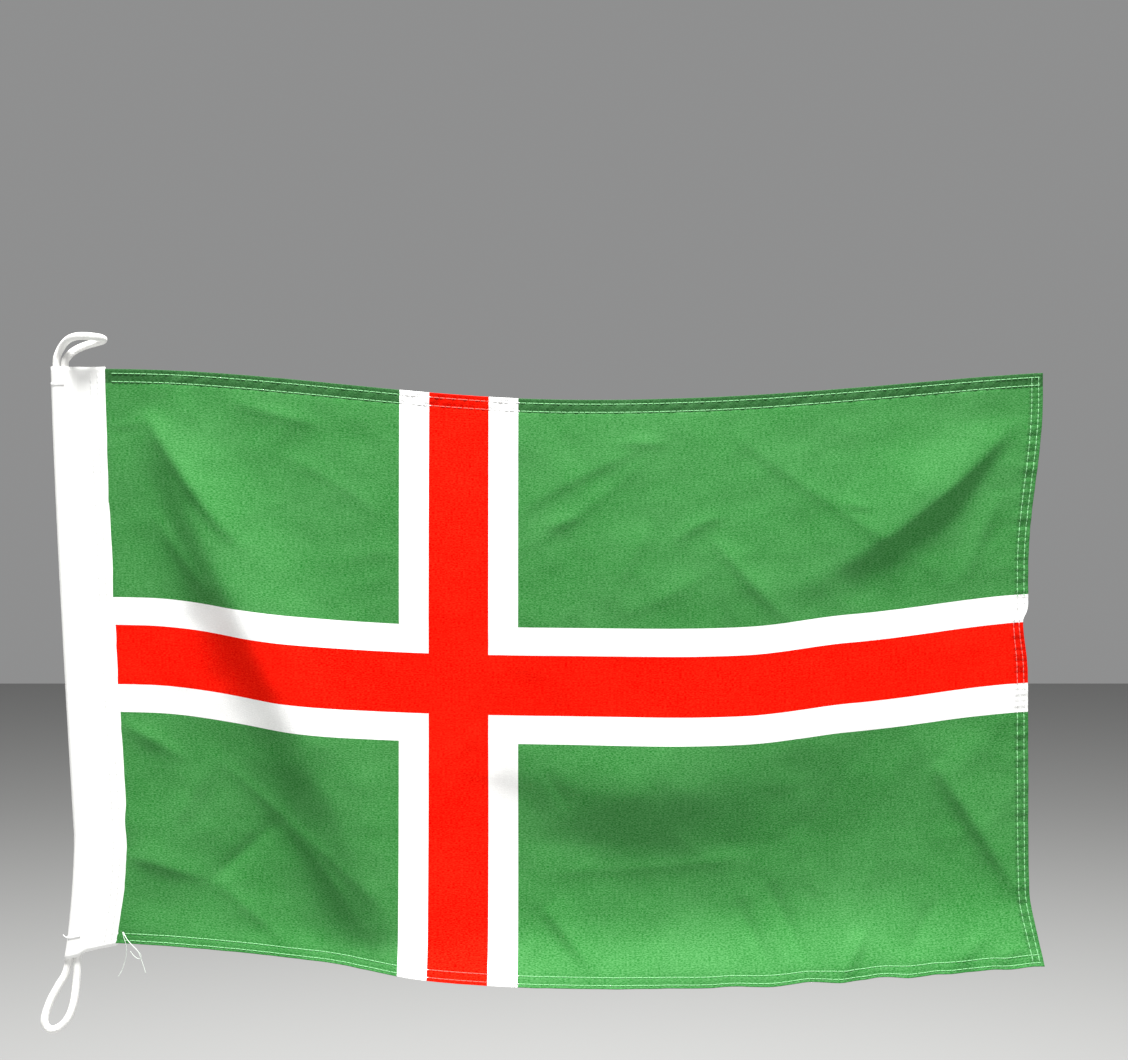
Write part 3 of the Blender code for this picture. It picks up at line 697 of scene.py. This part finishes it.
def crease_height(along, down, crease):
    crest = [(crease[place] / 100, crease[place + 1] / 100) for place in (0, 2, 4)]
    height, steep, gentle = (length / 1000 for length in crease[6:])
    nearest, above, travelled = beside(along, down, crest)
    width = steep + (gentle - steep) * (0.5 + 0.5 * above)
    ends = np.sin(math.pi * np.clip(travelled, 0.02, 0.98)) ** 0.6
    away = np.sqrt((nearest / width) ** 2 + 0.04) - 0.2
    return height * ends * np.exp(-1.6 * away)


def crumple(along, down, size, seed):
    """Smooth noise over the cloth, one value for each point."""
    flat = zip(np.ravel(along) / size, np.ravel(down) / size)
    values = [noise.noise(Vector((a, b, seed))) for a, b in flat]
    return np.array(values).reshape(np.shape(along))


def hump(distance, middle, reach):
    """1 at the middle, falling to 0 on both sides of it."""
    return np.exp(-(((distance - middle) / reach) ** 2))


def edge_wave(along, down, distance, wave):
    noise_here = crumple(along * wave.along, down * wave.down, wave.size, wave.seed)
    return wave.height * np.exp(-np.maximum(distance, 0.0) / wave.reach) * noise_here


def facet_relief(along, down):
    """Flat facets between soft ridges, as in cloth that has lain crumpled."""
    bent_along = along + FACET_WARP * crumple(along, down, FACET_WARP_SIZE, 21.5)
    bent_down = down + FACET_WARP * crumple(along, down, FACET_WARP_SIZE, 33.5)
    height, size, seed = SOFT_NOISE
    relief = height * crumple(along, down, size, seed)
    for height, size, seed in FACETS:
        relief = relief + height * (1.0 - 2.0 * np.abs(crumple(bent_along, bent_down, size, seed)))
    return relief


def hem_relief(along, down):
    """The grooves of the stitches, and the ripples and waves of the edges they gather."""
    from_fly, from_foot = PANEL_LENGTH - along, PANEL_HEIGHT - down
    relief = np.zeros(along.shape)
    for distance, rows in ((down, TOP_ROWS), (from_foot, BOTTOM_ROWS), (from_fly, FLY_ROWS)):
        for row in rows:
            relief = relief - STITCH_GROOVE * hump(distance, row, GROOVE_REACH)
    still = along * 0.0
    turns = down / FLY_RIPPLE.length + 0.80 * crumple(still, down, 0.021, 4.4)
    uneven = 0.65 + 0.7 * crumple(still, down, 0.030, 6.1)
    in_hem = hump(from_fly, FLY_RIPPLE.middle, FLY_RIPPLE.half_width)
    relief = relief + FLY_RIPPLE.height * in_hem * uneven * np.sin(2 * math.pi * turns)
    turns = (along + 0.9 * down) / TOP_RIPPLE.length + 0.8 * crumple(along, still, 0.030, 8.8)
    in_hem = hump(down, TOP_RIPPLE.middle, TOP_RIPPLE.half_width)
    relief = relief + TOP_RIPPLE.height * in_hem * np.sin(2 * math.pi * turns)
    relief = relief + edge_wave(along, down, from_fly, FLY_EDGE) + edge_wave(along, down, down, TOP_EDGE)
    relief = relief + edge_wave(along, down, from_foot, FOOT_EDGE)
    return relief + smooth(along, *LOOSE_FOOT_FROM) * edge_wave(along, down, from_foot, LOOSE_FOOT)


def cloth_relief(along, down):
    """How far the cloth stands forward of the CAD model's smooth drape."""
    along, down = np.broadcast_arrays(along, down)
    relief = facet_relief(along, down) + hem_relief(along, down)
    for crease in CREASES:
        relief = relief + crease_height(along, down, crease)
    return relief


def cloth_point(along, down, behind=0.0):
    """A point of the cloth's front face, or behind it."""
    point = hanging_point(along, down, cloth_relief)
    past_kink = down / PANEL_HEIGHT - KINK_AT
    kink = hump(past_kink, 0.0, np.where(past_kink < 0.0, KINK_UP, KINK_DOWN))
    kink = kink * smooth(along, PANEL_LENGTH - KINK_WIDTH, PANEL_LENGTH)
    wander = edge_wave(along, down, PANEL_HEIGHT - down, FOOT_WANDER)
    point[..., 0] -= KINK_INWARD * kink
    point[..., 1] += behind - KINK_FORWARD * kink
    point[..., 2] += smooth(along, *FOOT_WANDER_FROM) * wander
    return point


def print_slot(along, down):
    """0 green, 1 white, 2 red: the cross, measured in from the fly and down from the top."""
    from_fly = (PANEL_LENGTH - along) / CROSS_UNIT
    from_top = down / CROSS_UNIT
    if 19 < from_fly < 21 or abs(from_top - 10) < RED_HALF_HEIGHT:
        return 2
    if 18 < from_fly < 22 or 8 < from_top < 12:
        return 1
    return 0


def spaced(marks, step):
    """Stations at every mark, with even steps of about one size between them."""
    marks = sorted(marks)
    stations = [marks[0]]
    for low, high in zip(marks, marks[1:]):
        count = max(1, round((high - low) / step))
        stations.extend(low + (high - low) * index / count for index in range(1, count + 1))
    return stations


def hem_turns(width):
    """A hem turned twice to the back: distance in from its edge, plies behind, length of cloth used."""
    turn = 0.0003
    route = [
        (turn * 0.3, 0.15), (0.0, 1.0), (turn * 0.3, 1.85), (turn, 2.0), (0.0034, 2.0), (0.0070, 2.0),
        (width - turn, 2.0), (width - turn * 0.3, 1.9), (width, 1.5), (width - turn * 0.3, 1.1),
        (width - turn, 1.0), (0.0060, 1.0), (0.0018, 1.0),
    ]
    stations = []
    used, before = 0.0, (turn, 0.0)
    for inward, plies in route:
        used += math.hypot(inward - before[0], (plies - before[1]) * PLY_STEP)
        stations.append((inward, plies, used))
        before = (inward, plies)
    return stations


def hem_marks(rows):
    """Grid lines close enough together to draw the groove that each row of stitches pulls."""
    outer, inner = rows
    middle = (outer + inner) / 2
    side = 0.0013
    return (outer - side, outer, outer + side, middle, inner - side, inner, inner + side, inner + 0.0032)


def cloth_stations():
    """For each grid line: where it lies, how many plies behind, and its place on the flat cloth."""
    unit = CROSS_UNIT
    inside = -(SEAM_ALLOWANCE + SEAM_GAP)
    marks = [inside, 0.0, PANEL_LENGTH - 0.0003, *(PANEL_LENGTH - mark for mark in hem_marks(FLY_ROWS))]
    marks += [PANEL_LENGTH - count * unit for count in (22, 21, 19, 18)]
    alongs = [(along, 0.0, along) for along in spaced(marks, COLUMN_STEP)]
    turns = hem_turns(FLY_HEM)
    alongs += [(PANEL_LENGTH - inward, plies, PANEL_LENGTH + used) for inward, plies, used in turns]
    marks = [0.0003, PANEL_HEIGHT - 0.0003, *hem_marks(TOP_ROWS)]
    marks += [PANEL_HEIGHT - mark for mark in hem_marks(BOTTOM_ROWS)]
    marks += [8 * unit, (10 - RED_HALF_HEIGHT) * unit, (10 + RED_HALF_HEIGHT) * unit, 12 * unit]
    downs = [(inward, plies, -used) for inward, plies, used in reversed(hem_turns(TOP_HEM))]
    downs += [(down, 0.0, down) for down in spaced(marks, ROW_STEP)]
    turns = hem_turns(BOTTOM_HEM)
    downs += [(PANEL_HEIGHT - inward, plies, PANEL_HEIGHT + used) for inward, plies, used in turns]
    return np.array(alongs), np.array(downs)


def build_cloth(materials):
    alongs, downs = cloth_stations()
    along, down = np.meshgrid(alongs[:, 0], downs[:, 0], indexing="ij")
    fly_plies, hem_plies = np.meshgrid(alongs[:, 1], downs[:, 1], indexing="ij")
    flat_along, flat_down = np.meshgrid(alongs[:, 2], downs[:, 2], indexing="ij")
    near_foot = smooth(down, PANEL_HEIGHT - 0.02, PANEL_HEIGHT - BOTTOM_HEM)
    corner = np.maximum(1.0 - smooth(down, TOP_HEM, TOP_HEM * 2), near_foot)
    plies = fly_plies * (1.0 + 2.0 * corner) + hem_plies
    points = cloth_point(np.maximum(along, 0.0), down, CLOTH_THICKNESS / 2 + plies * PLY_STEP)
    inside = along < 0.0
    for i, j in zip(*np.nonzero(inside)):
        into = tape_point(down[i, j], TAPE_WIDTH + SEAM_GAP + along[i, j], 0.0)
        share = smooth_number(-along[i, j], 0.0, ENTERS_HEADING)
        into.y = points[i, j, 1] * (1 - share) + into.y * share
        points[i, j] = into
    columns, rows = along.shape
    faces, slots = [], []
    for i in range(columns - 1):
        for j in range(rows - 1):
            a, b = i * rows + j, (i + 1) * rows + j
            faces.append((a, a + 1, b + 1, b))
            middle_along = (flat_along[i, j] + flat_along[i + 1, j]) / 2
            middle_down = (flat_down[i, j] + flat_down[i, j + 1]) / 2
            slots.append(print_slot(middle_along, middle_down))
    uvs = np.stack([flat_along, flat_down], axis=-1).reshape(-1, 2)
    cloth = add_mesh("flag_cloth", points.reshape(-1, 3), faces, materials, slots, uvs)
    thicken(cloth, CLOTH_THICKNESS)
    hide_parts("flag_panel", "panel_seam_allowance")
    return cloth


# ---- The canvas heading ----

CANVAS = 0.0004
SLEEVE_RADIUS = 0.0039
SLEEVE_FLAT = 0.00085
SLEEVE_EDGE = TAPE_WIDTH + 0.0024
# Over this length the sleeve narrows from round two ropes to round one.
SLEEVE_NARROWS = 0.030
SLEEVE_FALL = 0.0085
# The edge turned under: each step's inset from the edge, and its depth from the middle.
SLEEVE_HEM = (
    (0.0001, SLEEVE_FLAT - 0.00006), (0.0, 0.00062), (0.0001, 0.00046),
    (0.0005, 0.00040), (0.0040, 0.00040), (0.0075, 0.00040),
)
SLEEVE_ROWS = 150
DENTS_START = 0.006


def sleeve_half(down):
    """One side of the sleeve's section, from the fold to the seam, where its edge is turned under."""
    lower_end = PANEL_HEIGHT - TURNED_BACK
    ends = 1.0 - smooth_number(down, TURNED_BACK, TURNED_BACK + SLEEVE_NARROWS)
    ends = ends + smooth_number(down, lower_end - SLEEVE_NARROWS, lower_end)
    shoulder = ROPE_INWARD + ROPE_PITCH * ends
    section = []
    for step in range(1, 8):
        angle = math.pi / 2 * step / 7
        section.append((ROPE_INWARD - SLEEVE_RADIUS * math.cos(angle), SLEEVE_RADIUS * math.sin(angle)))
    section.append(((ROPE_INWARD + shoulder) / 2 + 0.0002, SLEEVE_RADIUS * (1.0 - 0.03 * ends)))
    section.append((shoulder + 0.0004, SLEEVE_RADIUS))
    for step in range(1, 7):
        share = step / 6
        eased = share * share * (3 - 2 * share)
        depth = SLEEVE_RADIUS + (SLEEVE_FLAT - SLEEVE_RADIUS) * eased
        section.append((shoulder + 0.0004 + SLEEVE_FALL * share, depth))
    start = shoulder + 0.0004 + SLEEVE_FALL
    for step in range(1, 8):
        section.append((start + (SLEEVE_EDGE - 0.0004 - start) * step / 7, SLEEVE_FLAT))
    section += [(SLEEVE_EDGE - inset, depth) for inset, depth in SLEEVE_HEM]
    return section


def sleeve_relief(inward, down):
    """Soft dents and ripples in the heading, which move both its plies alike."""
    away = max(inward - DENTS_START, 0.0) / TAPE_WIDTH
    place = Vector((inward / 0.030, down / 0.045, 2.2))
    fine = Vector((inward / 0.012, down / 0.016, 8.4))
    return away * (0.0013 * noise.noise(place) + 0.0005 * noise.noise(fine))


def mouth_reach(down, inward):
    """The foot of the sleeve bulges a little lower where the ropes fill it."""
    foot = smooth_number(down, TAPE_FOOT - 0.012, TAPE_FOOT)
    bulge = 1.0 - smooth_number(inward, 0.010, 0.0165)
    return down + foot * (0.0022 * bulge - 0.0004)


def sleeve_point(down, inward, depth):
    free = 1 - smooth_number(inward, SLEEVE_EDGE - 0.010, SLEEVE_EDGE)
    return tape_point(mouth_reach(down, inward), inward, depth + sleeve_relief(inward, down) * free)


def build_sleeve(material):
    downs = np.linspace(TAPE_TOP, TAPE_FOOT, SLEEVE_ROWS)
    points, uvs = [], []
    for down in downs:
        half = sleeve_half(down)
        front = [(inward, -depth) for inward, depth in reversed(half)]
        section = [*front, (ROPE_INWARD - SLEEVE_RADIUS, 0.0), *half]
        used = 0.0
        before = section[0]
        for place in section:
            used += math.hypot(place[0] - before[0], place[1] - before[1])
            before = place
            points.append(sleeve_point(down, *place))
            uvs.append((used, down))
    width = len(points) // len(downs)
    faces = []
    for row in range(len(downs) - 1):
        for step in range(width - 1):
            here, there = row * width + step, (row + 1) * width + step
            faces.append((here, there, there + 1, here + 1))
    sleeve = add_mesh("heading_sleeve", points, faces, [material], uvs=uvs)
    thicken(sleeve, CANVAS)
    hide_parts("heading_tape")
    return sleeve


# ---- Rope ----

STRANDS_EACH_WAY = 8
BRAID_PITCH = 0.0195
BRAID_RADIUS = 0.00238
BRAID_WAVE = 0.00020
STRAND_HALF = (0.00074, 0.00032)
CORE_RADIUS = 0.00205


def braid_geometry(path):
    """A tubular braid: strands wind both ways and pass over and under each other, round a core."""
    path = evenly(path, 0.00042)
    across, other = path_frames(path)
    run = np.concatenate([[0.0], np.cumsum(np.linalg.norm(np.diff(path, axis=0), axis=1))])
    turn = 2 * math.pi * run / BRAID_PITCH
    parts = [tube_geometry(path[::3], CORE_RADIUS, 14)]
    for way in (1, -1):
        for strand in range(STRANDS_EACH_WAY):
            angle = way * turn + 2 * math.pi * strand / STRANDS_EACH_WAY
            radius = BRAID_RADIUS + way * BRAID_WAVE * np.cos(STRANDS_EACH_WAY * turn)
            outward = np.cos(angle)[:, None] * across + np.sin(angle)[:, None] * other
            line = path + outward * radius[:, None]
            parts.append(strand_geometry(line, outward))
    return join_geometry(parts)


def strand_geometry(line, outward):
    """One flattened strand whose flat side lies on the rope."""
    tangents = np.gradient(line, axis=0)
    tangents /= np.linalg.norm(tangents, axis=1)[:, None]
    outward = outward - tangents * np.sum(outward * tangents, axis=1)[:, None]
    outward /= np.linalg.norm(outward, axis=1)[:, None]
    return swept(line, np.cross(tangents, outward), outward, *STRAND_HALF, 6)


def loop_hinge_point(rope_end, outward, inward):
    end = tape_point(rope_end, inward, 0.0)
    further = tape_point(rope_end + outward * 0.004, inward, 0.0)
    return end + (further - end).normalized() * (ROPE_DIAMETER / 2 + GAP)


def loop_route(rope_end, outward, middle):
    """From inside the sleeve out of its mouth, round the loop, and back in beside itself."""
    leaving = [tape_point(rope_end - outward * reach, ROPE_INWARD, 0.0) for reach in (0.012, 0.006)]
    entering = [tape_point(rope_end - outward * reach, TAIL_INWARD, 0.0) for reach in (0.006, 0.012)]
    first = loop_hinge_point(rope_end, outward, ROPE_INWARD)
    last = loop_hinge_point(rope_end, outward, TAIL_INWARD)
    return through_points((*leaving, first, *in_metres(middle), last, *entering), 6)


def build_rope_loop(side, rope_end, outward, middle, material):
    route = loop_route(rope_end, outward, middle)
    points, faces = braid_geometry(route)
    rope = add_mesh(side + "_loop_rope", points, faces, [material])
    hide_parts(side + "_loop")
    exit_point = loop_hinge_point(rope_end, outward, ROPE_INWARD)
    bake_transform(rope)
    return rope


def build_heading_rope(material):
    """The rope through the heading and its two turned-back ends, up to where the loops' own rope starts."""
    inset = 0.0125
    runs = (
        (ROPE_INWARD, UPPER_ROPE_END + inset, LOWER_ROPE_END - inset),
        (TAIL_INWARD, UPPER_ROPE_END + inset, UPPER_ROPE_END + TURNED_BACK),
        (TAIL_INWARD, LOWER_ROPE_END - TURNED_BACK, LOWER_ROPE_END - inset),
    )
    parts = []
    for inward, start, end in runs:
        count = max(4, round((end - start) / 0.004))
        path = [tape_point(down, inward, 0.0) for down in np.linspace(start, end, count)]
        parts.append(tube_geometry(path, ROPE_DIAMETER / 2 - 0.0001, 16))
    points, faces = join_geometry(parts)
    rope = add_mesh("rope_in_heading", points, faces, [material])
    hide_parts("hoist_rope", "upper_rope_end", "lower_rope_end")
    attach(rope, "heading")
    return rope


# ---- Sewing threads ----

THREAD_RADIUS = 0.00030
THREAD_SIDES = 5
BARTACK_HALF_HEIGHT = 0.0012
BARTACK_STEP = 0.00036
# One stitch: each point's share of its length, and its height off the cloth.
STITCH_LIFT = (
    (0.00, -0.00036), (0.10, -0.00008), (0.22, 0.00020), (0.50, 0.00028), (0.78, 0.00020), (0.90, -0.00008),
)


def stitch_stations(length, pitch):
    """Where a row's points lie along it, and how high each stands off the cloth."""
    count = max(1, round(length / pitch))
    places, lifts = [], []
    for stitch in range(count):
        for share, lift in STITCH_LIFT:
            places.append((stitch + share) / count)
            lifts.append(lift)
    return np.array([*places, 1.0]), np.array([*lifts, STITCH_LIFT[0][1]])


def add_thread(name, path, slots, materials):
    points, faces = tube_geometry(path, THREAD_RADIUS, THREAD_SIDES)
    per_segment = [material for material in slots[:-1] for _ in range(THREAD_SIDES)]
    thread = add_mesh(name + "_stitches", points, faces, materials, [*per_segment, slots[0], slots[-1]])
    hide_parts(name + "_thread")
    return thread


def build_hem_row(name, start, end, materials):
    """One row of lockstitch, its needle thread on the front and its bobbin thread on the back."""
    start, end = np.array(start), np.array(end)
    shares, lifts = stitch_stations(float(np.linalg.norm(end - start)), STITCH_PITCH)
    threads = []
    places = start[None, :] + shares[:, None] * (end - start)[None, :]
    slots = [print_slot(along, down) for along, down in places]
    for side, behind, way in (("needle", 0.0, -1), ("bobbin", 2 * PLY_STEP + CLOTH_THICKNESS, 1)):
        path = cloth_point(places[:, 0], places[:, 1], behind)
        path[:, 1] += way * lifts
        threads.append(add_thread(f"{name}_{side}", path, slots, materials))
    return threads


def build_hem_threads(materials):
    blended, riding = [], []
    last = PANEL_LENGTH - 0.0022
    for place, row in zip(("outer", "inner"), TOP_ROWS):
        blended += build_hem_row(f"top_hem_{place}", (0.0045, row), (last, row), materials)
    for place, row in zip(("outer", "inner"), BOTTOM_ROWS):
        foot = PANEL_HEIGHT - row
        blended += build_hem_row(f"bottom_hem_{place}", (0.0045, foot), (last, foot), materials)
    for place, row in zip(("outer", "inner"), FLY_ROWS):
        along = PANEL_LENGTH - row
        foot = PANEL_HEIGHT - 0.0026
        riding += build_hem_row(f"fly_hem_{place}", (along, 0.0030), (along, foot), materials)
    return blended, riding


def build_tape_threads(material):
    threads = []
    off = SLEEVE_FLAT + CANVAS / 2
    start, end = 0.003, PANEL_HEIGHT * 0.994
    shares, lifts = stitch_stations(end - start, STITCH_PITCH)
    for place, row in zip(("outer", "inner"), TAPE_ROWS):
        for side, way in (("needle", -1), ("bobbin", 1)):
            inward = TAPE_WIDTH - row
            path = [
                sleeve_point(start + (end - start) * share, inward, way * (off + lift))
                for share, lift in zip(shares, lifts)
            ]
            name = f"heading_seam_{place}_{side}"
            threads.append(add_thread(name, path, [0] * len(path), [material]))
    return threads


BARTACK_OFF = CANVAS / 2 + 0.00005
# The cut end of the lower bartack's thread, as steps away from the heading's edge.
LOOSE_END = (
    (0.0010, -0.0020, 0.0000),
    (0.0000, -0.0016, 0.0002),
    (-0.0010, -0.0010, 0.0005),
    (-0.0021, -0.0008, 0.0012),
    (-0.0030, -0.0008, 0.0022),
)


def build_bartacks(material):
    """Dense zigzag stitches round the fold near each mouth, which lock the rope and its turned-back end."""
    for name, down in (("upper_bartack", 0.012), ("lower_bartack", PANEL_HEIGHT - 0.012)):
        half = [(inward, depth + BARTACK_OFF) for inward, depth in sleeve_half(down)[:9]]
        fold = (ROPE_INWARD - SLEEVE_RADIUS - BARTACK_OFF, 0.0)
        section = [*((inward, -depth) for inward, depth in reversed(half)), fold, *half]
        route = evenly([(inward, depth, 0.0) for inward, depth in section], BARTACK_STEP)
        path = []
        for index, (inward, depth, _) in enumerate(route):
            reach = BARTACK_HALF_HEIGHT if index % 2 else -BARTACK_HALF_HEIGHT
            path.append(sleeve_point(down + reach * 0.55, inward, depth))
            path.append(sleeve_point(down + reach, inward, depth))
        parts = [tube_geometry(path, THREAD_RADIUS, THREAD_SIDES)]
        if name == "lower_bartack":
            edge = sleeve_point(down, *fold)
            parts.append(tube_geometry([edge + Vector(step) for step in LOOSE_END], THREAD_RADIUS, 6))
        points, faces = join_geometry(parts)
        bartack = add_mesh(name + "_stitches", points, faces, [material])
        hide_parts(name)
        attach(bartack, "heading")


TAIL_RADIUS = 0.00025


def build_thread_tails(material):
    for name, route in THREAD_TAILS.items():
        route = in_metres(route)
        path = evenly(through_points(route, 6), 0.0006)
        points, faces = tube_geometry(path, TAIL_RADIUS, 7)
        tail = add_mesh(name + "_fibre", points, faces, [material])
        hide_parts(name)
        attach(tail, "panel")


# ---- Everything ----


def bend_at_fold(thing):
    """Bakes a piece's placement into its own mesh."""
    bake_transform(thing)


def main():
    build_camera()
    build_floor(build_light())
    braid = strand_material("white_braid", (0.86, 0.855, 0.835), 2200.0)
    white_thread = strand_material("white_thread", (0.88, 0.88, 0.87), 3000.0)
    green_thread = strand_material("pale_green_thread", (0.25, 0.57, 0.27), 3000.0)
    red_thread = strand_material("pale_red_thread", (0.88, 0.15, 0.12), 3000.0)
    loose = strand_material("loose_pale_thread", (0.74, 0.80, 0.74), 3000.0)
    build_rope_loop("upper", UPPER_ROPE_END, -1, UPPER_LOOP, braid)
    build_rope_loop("lower", LOWER_ROPE_END, 1, LOWER_LOOP, braid)
    build_thread_tails(loose)
    build_heading_rope(braid)
    # Each print's fourth value is the painted shade of its hems.
    prints = [
        cloth_material("green_print", (0.005, 0.148, 0.011), (0.080, 0.290, 0.086), 0.50, 0.20),
        cloth_material("white_print", (0.84, 0.84, 0.83), (0.90, 0.90, 0.89), 0.10, 0.12),
        cloth_material("red_print", (0.74, 0.0000, 0.0000), (0.90, 0.0190, 0.0060), 0.25, 0.0),
    ]
    cloth = build_cloth(prints)
    sleeve = build_sleeve(canvas_material())
    hem_blended, hem_riding = build_hem_threads([green_thread, white_thread, red_thread])
    tape_threads = build_tape_threads(white_thread)
    build_bartacks(white_thread)
    for thing in (cloth, sleeve, *hem_blended, *tape_threads):
        bend_at_fold(thing)
    for thing in hem_riding:
        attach(thing, "panel")


main()
